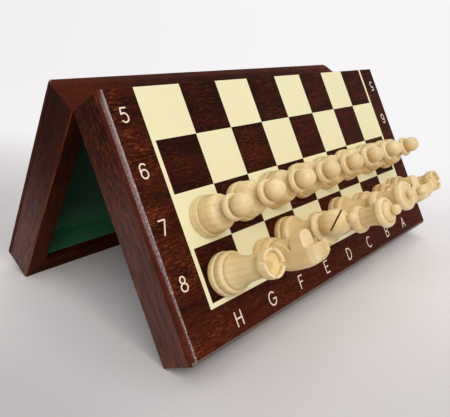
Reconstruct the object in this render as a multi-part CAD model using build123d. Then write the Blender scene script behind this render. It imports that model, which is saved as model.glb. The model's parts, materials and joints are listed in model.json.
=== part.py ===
from build123d import *
import os
from math import cos, radians, sin, sqrt

# Folding magnetic chess box. Two felt-lined trays, hinged together at their rims,
# stand open as a tent with the playing faces outward and one side's chessmen on the
# front half.
#
# World frame: X along the hinge, front at -Y, Z up, floor at Z = 0, origin under the
# middle of the whole model.
# Frame of a half: X along the hinge, Y from the hinge line to the free edge ("reach"),
# Z from the rim plane to the playing face ("rise"). One set of shapes serves both halves.
# Frame of a chessman: origin at the middle of its foot, Z up its own axis, Y as reach.

# ---------------------------------------------------------------- driving dimensions
# All lengths are millimetres, all angles degrees.

# Board
SQUARE = 29.0  # side of one square
FILES = 8
RANKS = 4  # ranks on each half
STRINGING = 2.5  # width of the light line round the field
MARGIN = 20.5  # dark border outside the line

# Box
LEAN = 29.6  # each half from the vertical, standing as a tent
RAIL_HEIGHT = 21.35
RAIL_WIDTH = 12.5
CORE_THICKNESS = 4.2
VENEER_THICKNESS = 0.8
EDGE_CHAMFER = 2.0  # round the three free edges of each playing face
SEAM = 0.15  # each half stands back this much from the hinge line, both ways
STEEL_THICKNESS = 0.5
STEEL_INSET = 1.0  # steel sheet stops this far inside the field
LINING_THICKNESS = 1.0
LINING_DROP = 4.35  # bare wood between the rim and the top of the felt

# Butt hinges
HINGE_X = 85.0  # middle of each hinge from the middle of the box
HINGE_LENGTH = 38.0
KNUCKLES = 5
KNUCKLE_GAP = 0.2
BARREL_RADIUS = 2.2
BARREL_CLEARANCE = 0.3  # barrel to the wood round it and to the other leaf
PIN_RADIUS = 0.9
PIN_PLAY = 0.05  # pin in the knuckles that turn on it
LEAF_REACH = 10.5
LEAF_THICKNESS = 1.0
LEAF_SCREW_SPACING = 22.0
LEAF_SCREW_REACH = 6.6
SCREW_HEAD_RADIUS = 2.2
SCREW_RADIUS = 1.1
SCREW_LENGTH = 9.0

# Hook clasps on the free edges
CLASP_X = 85.0
HOOK_PIVOT_RISE = 13.0  # on the front half
PEG_RISE = 11.0  # on the back half
HOOK_THICKNESS = 1.2
HOOK_ARM_WIDTH = 4.0
HOOK_EYE_RADIUS = 3.2
HOOK_HEAD_RADIUS = 3.5
HOOK_TAB = 4.0  # finger tab past the head
HOOK_PLAY = 0.1  # hook between its collar and its screw head
PIVOT_RADIUS = 1.4
PIVOT_PLAY = 0.05
COLLAR_RADIUS = 2.5
COLLAR_THICKNESS = 0.5
CAP_RADIUS = 2.6
CAP_THICKNESS = 1.2
PEG_RADIUS = 1.2
PEG_CLEARANCE = 0.3  # peg in the slot of the hook
CLASP_SCREW_LENGTH = 8.0

# Chessmen
PAWN_FOOT = 11.6
ROOK_FOOT = 11.8
KNIGHT_FOOT = 11.4
BISHOP_FOOT = 11.4
ROYAL_FOOT = 11.8
FOOT_EDGE = 3.0  # height of the plain disc of a foot
GROOVE_HEIGHT = 4.8
GROOVE_DEPTH = 1.0
BEAD_HEIGHT = 9.0  # top of the bead above the groove
BEAD_SETBACK = 0.7  # bead inside the disc at its fullest
BEAD_TAPER = 1.5
PAWN_BALL_RADIUS = 5.3
QUEEN_BALL_RADIUS = 2.3
KING_BALL_RADIUS = 3.0
BISHOP_BALL_RADIUS = 3.2
ROOK_TOWER_RADIUS = 8.3
ROOK_HEIGHT = 36.0
ROOK_WELL_RADIUS = 5.4
ROOK_WELL_DEPTH = 2.2
ROOK_NOTCH_WIDTH = 1.8
SLIT_WIDTH = 0.9
SLIT_MIDDLE = (3.3, -1.4, 39.1)  # middle of the straight floor of the cut
SLIT_ALONG = (-0.645, -0.651, 0.4)
SLIT_FLAT = (0.336, -0.712, -0.617)  # square to the two flat sides of the cut
KNIGHT_HEIGHT = 42.8
KNIGHT_SHOULDER_HEIGHT = 10.0
KNIGHT_BLANK_RADIUS = 10.6
KNIGHT_SHOULDER_RADIUS = 8.4
KNIGHT_CHEEK_HALF_WIDTH = 5.0
KNIGHT_CREST_HALF_WIDTH = 1.4
KNIGHT_EAR_NOTCH = 1.2
KERF_WIDTH = 0.7
KERF_DEPTH = 1.2
MAGNET_RADIUS = 5.0
MAGNET_THICKNESS = 2.5

# ---------------------------------------------------------------- derived sizes
FIELD_WIDTH = FILES * SQUARE
FIELD_REACH = RANKS * SQUARE
WIDTH = FIELD_WIDTH + 2 * (STRINGING + MARGIN)
REACH = FIELD_REACH + STRINGING + MARGIN
RAIL_TOP = SEAM + RAIL_HEIGHT
CORE_TOP = RAIL_TOP + CORE_THICKNESS
BOARD_TOP = CORE_TOP + VENEER_THICKNESS
INNER_X = WIDTH / 2 - RAIL_WIDTH
INNER_REACH = REACH - RAIL_WIDTH
BARREL_ROOM = BARREL_RADIUS + BARREL_CLEARANCE
LEAF_BACK = SEAM + LEAF_THICKNESS
KNUCKLE_PITCH = (HINGE_LENGTH + KNUCKLE_GAP) / KNUCKLES
HOOK_REACH = HOOK_PIVOT_RISE + PEG_RISE  # pivot to peg on the closed box
HOOK_SLOT = PEG_RADIUS + PEG_CLEARANCE
HOOK_BACK = COLLAR_THICKNESS + HOOK_PLAY
HOOK_FRONT = HOOK_BACK + HOOK_THICKNESS
HINGE_HEIGHT = REACH * cos(radians(LEAN)) - SEAM * sin(radians(LEAN))

BACK_FRAME = Plane(
    origin=(0, 0, HINGE_HEIGHT),
    x_dir=(1, 0, 0),
    z_dir=(0, cos(radians(LEAN)), sin(radians(LEAN))),
)
FRONT_FRAME = Plane(
    origin=(0, 0, HINGE_HEIGHT),
    x_dir=(-1, 0, 0),
    z_dir=(0, -cos(radians(LEAN)), sin(radians(LEAN))),
)

# Chessmen of one side: kind, file, rank, and how far each stands off the middle of its
# square along X and reach, as a share of the play between a foot and a square.
ON_THE_LINE = [
    ("rook", "h", 8, 0.10, 0.67),
    ("knight", "g", 8, -0.91, 0.91),
    ("bishop", "f", 8, -0.05, -0.17),
    ("king", "e", 8, -0.69, 0.78),
    ("queen", "d", 8, -0.45, 0.07),
    ("bishop", "c", 8, -0.69, 0.50),
    ("knight", "b", 8, -0.86, 0.52),
    ("rook", "a", 8, -0.21, 0.52),
    ("pawn", "h", 7, -0.17, 0.21),
    ("pawn", "g", 7, -0.09, -0.05),
    ("pawn", "f", 7, -0.10, -0.17),
    ("pawn", "e", 7, -0.03, -0.16),
    ("pawn", "d", 7, -0.09, -0.14),
    ("pawn", "c", 7, -0.05, -0.22),
    ("pawn", "b", 7, -0.09, -0.16),
    ("pawn", "a", 7, -0.17, 0.03),
]


# ---------------------------------------------------------------- helpers
def block(x, y, z):
    """A box given by its two ends along X, Y and Z."""
    low = [min(pair) for pair in (x, y, z)]
    size = [abs(pair[1] - pair[0]) for pair in (x, y, z)]
    return Pos(*low) * Box(*size, align=Align.MIN)


def rod(radius, start, end):
    """A round bar along Z from one height to another."""
    return Pos(0, 0, start) * Cylinder(radius, end - start, align=(Align.CENTER, Align.CENTER, Align.MIN))


def turned(outline):
    """A solid turned about Z from (radius, height, bulge) points.

    The bulge is how far the curve that ends at the point stands out from the
    straight line: above nought is round, below is hollow, nought is straight.
    """
    path = [Line((0, 0), outline[0][:2])]
    for (r0, h0, _), (r1, h1, bulge) in zip(outline, outline[1:]):
        if not bulge:
            path.append(Line((r0, h0), (r1, h1)))
            continue
        length = sqrt((r1 - r0) ** 2 + (h1 - h0) ** 2)
        middle = (
            (r0 + r1) / 2 + bulge * (h1 - h0) / length,
            (h0 + h1) / 2 - bulge * (r1 - r0) / length,
        )
        path.append(ThreePointArc((r0, h0), middle, (r1, h1)))
    top_radius, top_height, _ = outline[-1]
    if top_radius:
        path.append(Line((top_radius, top_height), (0, top_height)))
    path.append(Line((0, top_height), (0, 0)))
    return revolve(Plane.XZ * make_face(path), Axis.Z)


def foot(radius):
    """The disc, groove and bead that every chessman stands on."""
    return [
        (radius - 0.1, 0, 0),
        (radius, FOOT_EDGE, 0),
        (radius - GROOVE_DEPTH, GROOVE_HEIGHT, 0),
        (radius - BEAD_SETBACK, BEAD_HEIGHT / 2 + GROOVE_HEIGHT / 2, 0),
        (radius - BEAD_TAPER, BEAD_HEIGHT, 0),
    ]


def ball(neck_radius, neck_height, radius):
    """The round knob on a neck: one arc from the neck to its own top."""
    rise = sqrt(radius**2 - neck_radius**2)
    top = neck_height + rise + radius
    chord = sqrt(neck_radius**2 + (top - neck_height) ** 2)
    return (0, top, radius - sqrt(radius**2 - (chord / 2) ** 2))


# ---------------------------------------------------------------- box carcass
def hinge_places():
    """Moves a hinge part to each hinge in turn."""
    return [Pos(side * HINGE_X, 0, 0) for side in (-1, 1)]


def clasp_places(rise):
    """Moves a part turned about Z to each clasp point on the free edge, Z outward."""
    return [Pos(side * CLASP_X, REACH, rise) * Rot(-90, 0, 0) for side in (-1, 1)]


def rail(corners):
    """A rail of full height from its four corners in plan, mitred at both ends."""
    plan = make_face(Polyline(*corners, close=True))
    return Pos(0, 0, SEAM) * extrude(plan, RAIL_HEIGHT, dir=(0, 0, 1))


def end_rail(side):
    """The rail at one end of a half."""
    outer, inner = side * WIDTH / 2, side * INNER_X
    return rail([(outer, SEAM), (outer, REACH), (inner, INNER_REACH), (inner, RAIL_WIDTH)])


def leaf_screw_places():
    """Moves a screw to each hole of both leaves of a half, its head at the rim."""
    spots = [Pos(step * LEAF_SCREW_SPACING / 2, LEAF_SCREW_REACH, SEAM) for step in (-1, 1)]
    return [place * spot for place in hinge_places() for spot in spots]


def hinge_rail():
    """The rail under the hinge, with room for the barrels, leaves and screws."""
    outer = WIDTH / 2
    bar = rail([(-outer, SEAM), (outer, SEAM), (INNER_X, RAIL_WIDTH), (-INNER_X, RAIL_WIDTH)])
    half = HINGE_LENGTH / 2
    barrel = Rot(0, 90, 0) * Cylinder(BARREL_ROOM, HINGE_LENGTH + 2 * BARREL_CLEARANCE)
    mortise = block((-half, half), (0, LEAF_REACH), (0, LEAF_BACK))
    for place in hinge_places():
        bar -= place * (barrel + mortise)
    for place in leaf_screw_places():
        bar -= place * rod(SCREW_RADIUS, 0, SCREW_LENGTH)
    return bar


def free_rail(rise):
    """The rail along the free edge, drilled for its two clasp screws."""
    outer = WIDTH / 2
    bar = rail([(-outer, REACH), (outer, REACH), (INNER_X, INNER_REACH), (-INNER_X, INNER_REACH)])
    for place in clasp_places(rise):
        bar -= place * rod(PEG_RADIUS, -CLASP_SCREW_LENGTH, 0)
    return bar


def board_blank():
    """Core and veneer in one, chamfered along the two ends and the free edge."""
    blank = block((-WIDTH / 2, WIDTH / 2), (SEAM, REACH), (RAIL_TOP, BOARD_TOP))
    top = blank.faces().sort_by(Axis.Z)[-1]
    hinge_edge = top.edges().sort_by(Axis.Y)[0]
    free_edges = [edge for edge in top.edges() if edge != hinge_edge]
    return chamfer(free_edges, EDGE_CHAMFER)


def below(shape, rise):
    """The part of a shape under a height."""
    return split(shape, Plane.XY.offset(rise), keep=Keep.BOTTOM)


def steel_sheet():
    """The sheet under the field that the magnets hold on to."""
    half = FIELD_WIDTH / 2 - STEEL_INSET
    reach = (STEEL_INSET, FIELD_REACH - STEEL_INSET)
    return block((-half, half), reach, (CORE_TOP - STEEL_THICKNESS, CORE_TOP))


def panel_core():
    """The panel that closes the tray, recessed for the steel sheet."""
    return below(board_blank(), CORE_TOP) - steel_sheet()


def field_with_line():
    """The veneer inside the dark border."""
    half = FIELD_WIDTH / 2 + STRINGING
    return block((-half, half), (SEAM, FIELD_REACH + STRINGING), (CORE_TOP, BOARD_TOP))


def square(column, row):
    """One square of veneer, counted along X and from the hinge."""
    left = column * SQUARE - FIELD_WIDTH / 2
    near = max(row * SQUARE, SEAM)
    return block((left, left + SQUARE), (near, (row + 1) * SQUARE), (CORE_TOP, BOARD_TOP))


def squares(parity):
    """The squares of one colour."""
    cells = [(column, row) for column in range(FILES) for row in range(RANKS)]
    return [square(column, row) for column, row in cells if (column + row) % 2 == parity]


def dark_veneer():
    """Dark border and dark squares."""
    skin = split(board_blank(), Plane.XY.offset(CORE_TOP), keep=Keep.TOP)
    return [skin - field_with_line()] + squares(0)


def light_veneer():
    """Light line round three sides of the field, and light squares."""
    half = FIELD_WIDTH / 2
    field = block((-half, half), (0, FIELD_REACH), (CORE_TOP, BOARD_TOP))
    return [field_with_line() - field] + squares(1)


def felt_lining():
    """The felt on the four walls and the floor of a tray."""
    shell = block((-INNER_X, INNER_X), (RAIL_WIDTH, INNER_REACH), (SEAM + LINING_DROP, RAIL_TOP))
    half = INNER_X - LINING_THICKNESS
    reach = (RAIL_WIDTH + LINING_THICKNESS, INNER_REACH - LINING_THICKNESS)
    return shell - block((-half, half), reach, (0, RAIL_TOP - LINING_THICKNESS))


# ---------------------------------------------------------------- hinges
def screw():
    """A countersunk screw, head at Z = 0, point upward."""
    head = Cone(SCREW_HEAD_RADIUS, SCREW_RADIUS, LEAF_THICKNESS, align=(Align.CENTER, Align.CENTER, Align.MIN))
    return head + rod(SCREW_RADIUS, LEAF_THICKNESS, SCREW_LENGTH)


def leaf(first_knuckle, bore):
    """A hinge leaf let into the rim, with every other knuckle from the first."""
    half = HINGE_LENGTH / 2
    plate = block((-half, half), (BARREL_ROOM, LEAF_REACH), (SEAM, LEAF_BACK))
    for index in range(first_knuckle, KNUCKLES, 2):
        start = index * KNUCKLE_PITCH - half
        end = start + KNUCKLE_PITCH - KNUCKLE_GAP
        knuckle = Pos(start, 0, 0) * Rot(0, 90, 0) * rod(BARREL_RADIUS, 0, end - start)
        tab = block((start, end), (PIN_RADIUS, BARREL_ROOM), (SEAM, LEAF_BACK))
        plate += knuckle + tab
    plate -= Rot(0, 90, 0) * Cylinder(bore, HINGE_LENGTH + 1)
    for step in (-1, 1):
        plate -= Pos(step * LEAF_SCREW_SPACING / 2, LEAF_SCREW_REACH, SEAM) * screw()
    return plate


def hinge_pin():
    """The pin through the five knuckles."""
    return Rot(0, 90, 0) * Cylinder(PIN_RADIUS, HINGE_LENGTH)


# ---------------------------------------------------------------- hook clasps
def hook():
    """A flat hook in the plane of its travel: eye at the origin, arm along X when
    parked, slot open to +Y, the way it turns to reach the peg."""
    arm = Pos(HOOK_REACH / 2, 0) * Rectangle(HOOK_REACH, HOOK_ARM_WIDTH)
    tab = Pos(HOOK_REACH + HOOK_HEAD_RADIUS, -1) * SlotCenterToCenter(HOOK_TAB, HOOK_ARM_WIDTH / 2)
    outline = Circle(HOOK_EYE_RADIUS) + arm + tab + Pos(HOOK_REACH, 0) * Circle(HOOK_HEAD_RADIUS)
    path = Circle(HOOK_REACH + HOOK_SLOT) - Circle(HOOK_REACH - HOOK_SLOT)
    ahead = Pos(HOOK_REACH, HOOK_HEAD_RADIUS) * Rectangle(4 * HOOK_SLOT, 2 * HOOK_HEAD_RADIUS)
    outline -= path & ahead
    outline -= Pos(HOOK_REACH, 0) * Circle(HOOK_SLOT)
    outline -= Circle(PIVOT_RADIUS + PIVOT_PLAY)
    return Pos(0, 0, HOOK_BACK) * extrude(outline, HOOK_THICKNESS)


def hook_in_half(side):
    """A hook on its pivot at one end of the free edge, parked along the edge."""
    at_left = Pos(-CLASP_X, REACH, HOOK_PIVOT_RISE) * Rot(-90, 0, 0) * hook()
    return at_left if side < 0 else mirror(at_left, Plane.YZ)


def capped_post(radius, collar_radius):
    """A screw shank, collar, post and coned cap in one, Z outward from the wood."""
    cap_back = HOOK_FRONT + HOOK_PLAY
    cap_front = cap_back + CAP_THICKNESS
    cap = turned([(CAP_RADIUS, 0, 0), (PEG_RADIUS, CAP_THICKNESS, 0)])
    post = rod(radius, 0, cap_front - CAP_THICKNESS / 2) + Pos(0, 0, cap_back) * cap
    post += rod(PEG_RADIUS, -CLASP_SCREW_LENGTH, 0)
    return post + rod(collar_radius, 0, COLLAR_THICKNESS)


# ---------------------------------------------------------------- chessmen
def pawn():
    neck_radius, neck_height = 4.0, 21.3
    outline = foot(PAWN_FOOT) + [
        (9.0, 11.8, 0),
        (4.8, 17.2, -0.4),
        (7.2, 19.4, 0),
        (neck_radius, neck_height, 0),
        ball(neck_radius, neck_height, PAWN_BALL_RADIUS),
    ]
    return turned(outline)


def rook():
    outline = foot(ROOK_FOOT) + [
        (9.3, 9.9, 0),
        (6.0, 25.0, -0.8),
        (6.2, 28.0, 0),
        (ROOK_TOWER_RADIUS - 0.1, 31.2, 0),
        (ROOK_TOWER_RADIUS, ROOK_HEIGHT, 0),
    ]
    well_floor = ROOK_HEIGHT - ROOK_WELL_DEPTH
    tower = turned(outline) - rod(ROOK_WELL_RADIUS, well_floor, ROOK_HEIGHT)
    across = 2 * ROOK_TOWER_RADIUS + 1
    lengthwise = Box(across, ROOK_NOTCH_WIDTH, 2 * ROOK_WELL_DEPTH)
    crosswise = Box(ROOK_NOTCH_WIDTH, across, 2 * ROOK_WELL_DEPTH)
    return tower - Pos(0, 0, ROOK_HEIGHT) * (lengthwise + crosswise)


def bishop():
    neck_radius, neck_height = 1.9, 45.0
    outline = foot(BISHOP_FOOT) + [
        (8.0, 10.4, 0),
        (5.0, 22.5, -0.6),
        (7.9, 24.9, 0),
        (7.2, 27.2, 0),
        (5.2, 28.4, 0),
        (7.8, 35.6, 0.7),
        (neck_radius, neck_height, 1.6),
        ball(neck_radius, neck_height, BISHOP_BALL_RADIUS),
    ]
    blade = Pos(0, -BISHOP_FOOT, 0) * Box(3 * BISHOP_FOOT, 2 * BISHOP_FOOT, SLIT_WIDTH)
    return turned(outline) - Plane(SLIT_MIDDLE, SLIT_ALONG, SLIT_FLAT) * blade


def king():
    neck_radius, neck_height = 1.9, 53.6
    outline = foot(ROYAL_FOOT) + [
        (8.6, 10.6, 0),
        (5.4, 26.0, -0.8),
        (8.3, 29.8, 0),
        (6.1, 34.8, 1.1),
        (5.7, 38.6, 0),
        (6.5, 43.0, 0),
        (8.9, 48.0, 0),
        (8.5, 49.8, 0),
        (6.2, 50.3, 0),
        (neck_radius, neck_height, 0.9),
        ball(neck_radius, neck_height, KING_BALL_RADIUS),
    ]
    return turned(outline)


def queen():
    neck_radius, neck_height = 1.6, 52.3
    outline = foot(ROYAL_FOOT) + [
        (8.6, 10.6, 0),
        (5.2, 26.0, -0.8),
        (8.0, 29.8, 0),
        (6.0, 34.2, 1.0),
        (5.5, 38.4, 0),
        (6.3, 43.0, 0),
        (9.1, 50.2, 0),
        (7.9, 51.2, 0),
        (5.8, 50.6, 0),
        (neck_radius, neck_height, 0),
        ball(neck_radius, neck_height, QUEEN_BALL_RADIUS),
    ]
    return turned(outline)


def knight_side():
    """The horse's outline seen from the side, nose toward -Y."""
    chest, throat = (-KNIGHT_SHOULDER_RADIUS - 0.2, KNIGHT_SHOULDER_HEIGHT), (-1.1, 22.6)
    lips, brow, poll = (-9.0, 23.8), (-10.1, 31.6), (-1.7, 31.8)
    ear, ear_tip = (-2.2, 40.5), (-3.2, 42.0)
    nape, withers = (4.9, 41.5), (10.1, 26.0)
    rump = (KNIGHT_SHOULDER_RADIUS + 0.2, KNIGHT_SHOULDER_HEIGHT)
    return make_face(
        [
            ThreePointArc(chest, (-5.9, 17.2), throat),
            Line(throat, lips),
            ThreePointArc(lips, (-10.3, 27.0), brow),
            Line(brow, poll),
            ThreePointArc(poll, (-1.5, 36.0), ear),
            Line(ear, ear_tip),
            Line(ear_tip, (-2.4, KNIGHT_HEIGHT)),
            Line((-2.4, KNIGHT_HEIGHT), (3.4, KNIGHT_HEIGHT)),
            Line((3.4, KNIGHT_HEIGHT), nape),
            ThreePointArc(nape, (8.6, 35.0), withers),
            ThreePointArc(withers, (10.2, 18.0), rump),
            Line(rump, chest),
        ]
    )


def knight_front():
    """The horse's outline seen from the front: broad shoulders, narrow crest."""
    shoulder, low = KNIGHT_SHOULDER_RADIUS + 0.2, KNIGHT_SHOULDER_HEIGHT
    cheek, crest = KNIGHT_CHEEK_HALF_WIDTH, KNIGHT_CREST_HALF_WIDTH
    head = [(4.2, 36.3), (2.2, 40.4), (crest, KNIGHT_HEIGHT)]
    edges = []
    for side in (1, -1):
        points = [(side * x, height) for x, height in [(cheek, 32.0)] + head]
        edges.append(ThreePointArc((side * shoulder, low), (side * 5.9, 13.6), (side * cheek, 19.5)))
        edges.append(Line((side * cheek, 19.5), points[0]))
        edges.append(Polyline(*points))
    edges.append(Line((-crest, KNIGHT_HEIGHT), (crest, KNIGHT_HEIGHT)))
    edges.append(Line((-shoulder, low), (shoulder, low)))
    return make_face(edges)


def knight_top():
    """The horse's outline seen from above: rounded nose and rounded mane."""
    cheek, blank = KNIGHT_CHEEK_HALF_WIDTH, KNIGHT_BLANK_RADIUS
    nose = ThreePointArc((-cheek, -7.3), (0, -blank), (cheek, -7.3))
    mane = ThreePointArc((-cheek, 6.9), (0, blank), (cheek, 6.9))
    sides = [Polyline((side * cheek, -7.3), (side * blank, -2.6), (side * blank, 2.6), (side * cheek, 6.9)) for side in (-1, 1)]
    return make_face([nose, mane] + sides)


def knight_kerfs():
    """Saw cuts for the mane, sloping down the back of the neck."""
    depth = 2 * KERF_DEPTH
    cut = Box(2 * KNIGHT_BLANK_RADIUS, depth, KERF_WIDTH)
    spots = [(7.2, 38.6), (8.9, 34.4), (9.8, 30.2), (10.3, 26.0)]
    return [Pos(0, y, height) * Rot(-24, 0, 0) * cut for y, height in spots]


def knight():
    shoulder, low, high = KNIGHT_SHOULDER_RADIUS, KNIGHT_SHOULDER_HEIGHT, KNIGHT_HEIGHT
    base = turned(foot(KNIGHT_FOOT) + [(shoulder, low, 0)])
    blank = [(shoulder, 0, 0), (KNIGHT_BLANK_RADIUS, 7.0, 0), (KNIGHT_BLANK_RADIUS, high - low, 0)]
    head = Pos(0, 0, low) * turned(blank)
    head &= extrude(Plane.YZ * knight_side(), KNIGHT_BLANK_RADIUS, both=True)
    head &= extrude(Plane.XZ * knight_front(), KNIGHT_BLANK_RADIUS + 1, both=True)
    head &= Pos(0, 0, low) * extrude(knight_top(), high - low, dir=(0, 0, 1))
    notch = Pos(0, -1.0, high) * Rot(0, 45, 0) * Box(KNIGHT_EAR_NOTCH, 5.0, KNIGHT_EAR_NOTCH)
    for cut in [notch] + knight_kerfs():
        head -= cut
    return base + head


CHESSMEN = {
    "pawn": pawn(),
    "rook": rook(),
    "knight": knight(),
    "bishop": bishop(),
    "king": king(),
    "queen": queen(),
}
FEET = {
    "pawn": PAWN_FOOT,
    "rook": ROOK_FOOT,
    "knight": KNIGHT_FOOT,
    "bishop": BISHOP_FOOT,
    "king": ROYAL_FOOT,
    "queen": ROYAL_FOOT,
}


def chessman_place(kind, file, rank, x_share, reach_share):
    """Moves a chessman to its square on the front half."""
    play = SQUARE - 2 * FEET[kind]
    column = ord(file) - ord("a")
    row = rank - RANKS - 1
    x = (column + 0.5) * SQUARE - FIELD_WIDTH / 2 + x_share * play
    reach = (row + 0.5) * SQUARE + reach_share * play
    return Pos(x, reach, BOARD_TOP)


# ---------------------------------------------------------------- assembly
def half_nodes(name, frame, right, first_knuckle, bore, clasp_rise):
    """Every node that both halves have; right is the half's own side at world +X."""
    return {
        f"{name}_hinge_rail": frame * hinge_rail(),
        f"{name}_free_rail": frame * free_rail(clasp_rise),
        f"{name}_right_rail": frame * end_rail(right),
        f"{name}_left_rail": frame * end_rail(-right),
        f"{name}_panel_core": frame * panel_core(),
        f"{name}_steel_sheet": frame * steel_sheet(),
        f"{name}_felt_lining": frame * felt_lining(),
        f"{name}_dark_veneer": [frame * piece for piece in dark_veneer()],
        f"{name}_light_veneer": [frame * piece for piece in light_veneer()],
        f"{name}_hinge_leaves": [frame * place * leaf(first_knuckle, bore) for place in hinge_places()],
        f"{name}_hinge_screws": [frame * place * screw() for place in leaf_screw_places()],
    }


nodes = half_nodes("front", FRONT_FRAME, -1, 0, PIN_RADIUS, HOOK_PIVOT_RISE)
nodes |= half_nodes("back", BACK_FRAME, 1, 1, PIN_RADIUS + PIN_PLAY, PEG_RISE)
nodes["hinge_pins"] = [FRONT_FRAME * place * hinge_pin() for place in hinge_places()]
nodes["hook_right"] = FRONT_FRAME * hook_in_half(-1)
nodes["hook_left"] = FRONT_FRAME * hook_in_half(1)
nodes["hook_screws"] = [
    FRONT_FRAME * place * capped_post(PIVOT_RADIUS, COLLAR_RADIUS) for place in clasp_places(HOOK_PIVOT_RISE)
]
nodes["hook_pegs"] = [
    BACK_FRAME * place * capped_post(PEG_RADIUS, PEG_RADIUS) for place in clasp_places(PEG_RISE)
]
magnet = rod(MAGNET_RADIUS, 0, MAGNET_THICKNESS)
for kind, file, rank, x_share, reach_share in ON_THE_LINE:
    place = chessman_place(kind, file, rank, x_share, reach_share)
    nodes[f"{kind}_{file}{rank}"] = FRONT_FRAME * place * (CHESSMEN[kind] - magnet)
    nodes[f"{kind}_{file}{rank}_magnet"] = FRONT_FRAME * place * magnet

nodes = {name: Compound(list(shape) if isinstance(shape, list) else shape.solids()) for name, shape in nodes.items()}
bounds = Compound(list(nodes.values())).bounding_box()
to_origin = Pos(-bounds.center().X, -bounds.center().Y, -bounds.min.Z)

os.makedirs("parts", exist_ok=True)
for name, shape in nodes.items():
    export_step(to_origin * shape, f"parts/{name}.step")
print("nodes", len(nodes), "size", bounds.size, "shift", to_origin.position)
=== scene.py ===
import contextlib
import json
from math import atan2, cos, hypot, pi, radians, sin, sqrt

import bmesh
import bpy
import numpy as np
from mathutils import Matrix, Vector

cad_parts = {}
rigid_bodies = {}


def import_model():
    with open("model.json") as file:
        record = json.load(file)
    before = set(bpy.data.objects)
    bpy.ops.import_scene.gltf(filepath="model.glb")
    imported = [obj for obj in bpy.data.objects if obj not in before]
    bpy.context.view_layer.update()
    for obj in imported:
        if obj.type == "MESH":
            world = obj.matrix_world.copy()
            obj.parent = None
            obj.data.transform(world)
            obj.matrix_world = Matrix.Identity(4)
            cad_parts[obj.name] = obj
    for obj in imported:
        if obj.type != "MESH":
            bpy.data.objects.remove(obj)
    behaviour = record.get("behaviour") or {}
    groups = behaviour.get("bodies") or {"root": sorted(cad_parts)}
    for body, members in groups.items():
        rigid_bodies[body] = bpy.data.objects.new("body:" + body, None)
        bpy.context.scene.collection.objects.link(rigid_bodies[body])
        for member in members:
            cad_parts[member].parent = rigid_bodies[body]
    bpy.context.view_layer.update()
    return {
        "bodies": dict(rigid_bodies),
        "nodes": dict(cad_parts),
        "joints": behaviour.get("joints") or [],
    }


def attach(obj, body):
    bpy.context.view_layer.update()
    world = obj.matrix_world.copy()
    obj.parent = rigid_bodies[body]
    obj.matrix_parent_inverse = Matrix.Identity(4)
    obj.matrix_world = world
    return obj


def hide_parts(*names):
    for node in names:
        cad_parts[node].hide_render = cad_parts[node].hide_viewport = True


bl_info = {
    "name": "Chess Box Tent",
    "version": (1, 0, 0),
    "blender": (4, 5, 0),
    "location": "3D View > Sidebar > Chess Box",
    "description": "Finishes a folding chess box: wood, inlay, lettering, felt, fittings and men",
    "category": "Add Mesh",
}

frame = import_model()

# ---- the frame's facts
# Shapes are worked out in millimetres in the frame of one half: X along the hinge,
# Y from the hinge line to the free edge, Z from the rim to the playing face.
MM = 0.001
JOINTS = {joint["name"]: joint for joint in frame["joints"]}
HINGE = np.array(JOINTS["box_hinge"]["pos_m"])
LEAN = radians(-JOINTS["box_hinge"]["range_deg"][0] / 2)
SIDES = {"front": -1, "back": 1}
MEN = sorted(name for name in frame["bodies"] if name[-1].isdigit())


def half_axes(half):
    """The three unit vectors of a half's frame, as rows."""
    side = SIDES[half]
    across, along = side * sin(LEAN), side * cos(LEAN)
    return np.array([[side, 0, 0], [0, across, -cos(LEAN)], [0, along, sin(LEAN)]])


def in_half(points, half):
    """Millimetres in a half's frame to metres in the world."""
    return HINGE + MM * points @ half_axes(half)


def to_half(points, half):
    """Metres in the world to millimetres in a half's frame."""
    return (points - HINGE) @ half_axes(half).T / MM


def vectors(items, name):
    """One vector of each vertex or face of a mesh, as rows."""
    values = np.empty(3 * len(items))
    items.foreach_get(name, values)
    return values.reshape(-1, 3)


def local_points(mesh, half):
    """A mesh's vertices in a half's frame, in millimetres."""
    return to_half(vectors(mesh.vertices, "co"), half)


def local_box(node, half):
    """A node's own limits in a half's frame, in millimetres."""
    local = local_points(frame["nodes"][node].data, half)
    return local.min(axis=0), local.max(axis=0)


def man_foot(name):
    """The middle of a man's foot in the frame of the front half, in millimetres."""
    low, high = local_box(name + "_magnet", "front")
    return np.array([*(low + high)[:2] / 2, low[2]])


HALF_WIDTH = local_box("front_panel_core", "front")[1][0]
FACE_RISE = local_box("front_dark_veneer", "front")[1][2]
FREE_REACH = local_box("front_panel_core", "front")[1][1]
FIELD_SIDE = local_box("front_steel_sheet", "front")[1][0] + 1.0  # the squares end here, both ways


# ---- settings
def length(name, description, default):
    """A length property given in millimetres and kept in metres."""
    return bpy.props.FloatProperty(name=name, description=description, default=default * MM, unit="LENGTH")


def tint(name, description, default):
    """A colour property; the default is given as it looks on a screen, 0 to 255."""
    linear = [((c / 255 + 0.055) / 1.055) ** 2.4 if c > 10 else c / 255 / 12.92 for c in default]
    return bpy.props.FloatVectorProperty(
        name=name, description=description, default=linear, subtype="COLOR", size=3, min=0, max=1
    )


class ChessBoxSizes(bpy.types.PropertyGroup):
    """Sizes that a maker would change."""

    square: length("Square", "Side of one square", 29.0)
    line: length("Line", "Width of the light line round the field", 2.5)
    margin: length("Margin", "Dark border outside the line", 20.5)
    arris: length("Arris", "Softening of the rails' edges", 0.5)
    letter_height: length("Letter height", "Height of the coordinates", 7.4)
    stroke: length("Stroke", "Width of the pen of the coordinates", 0.82)
    felt_fillet: length("Felt fillet", "Round where the felt turns from wall to floor", 2.6)
    knight_grain: length("Knight grain", "Fineness of the carved head", 0.34)


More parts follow.
